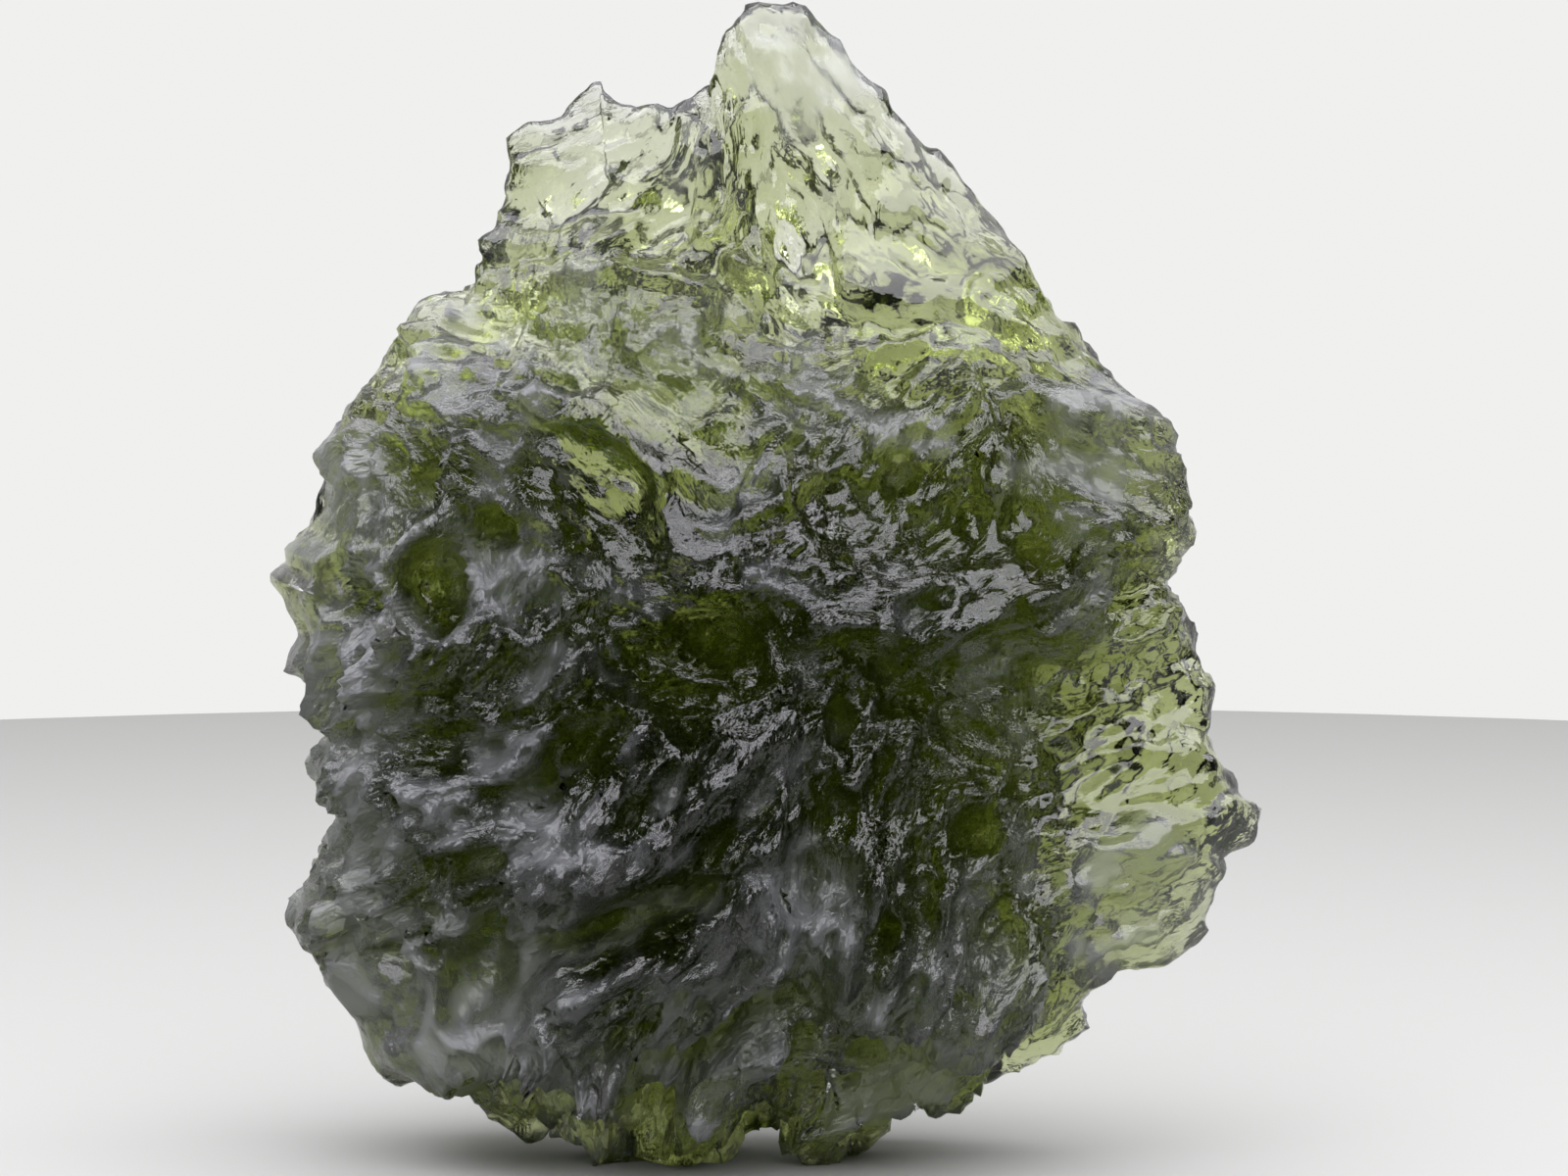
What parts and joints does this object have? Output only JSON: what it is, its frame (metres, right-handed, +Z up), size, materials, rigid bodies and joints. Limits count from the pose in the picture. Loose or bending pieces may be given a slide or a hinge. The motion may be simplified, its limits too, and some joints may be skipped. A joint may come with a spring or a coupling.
{
  "type": "moldavite",
  "caption": "Single rough natural-glass stone, deeply pitted and grooved, upright on a small flat spot, with a thin peak and a thin side wing.",
  "frame": {"origin": "on the ground under the middle of the stone's box, at the level of the flat spot it stands on", "axes": "+Z up through the peak, +Y from the broad sculpted face to the back, +X to the right as seen from the broad face, where the thin wing is"},
  "size_m": [0.0254, 0.0156, 0.0297],
  "materials": {
    "moldavite_glass": "natural etched surface, glossy in the grooves and satin on the crests, bottle green and see-through where thin"
  },
  "bodies": {
    "root": {"moldavite": "moldavite_glass"}
  },
  "joints": []
}
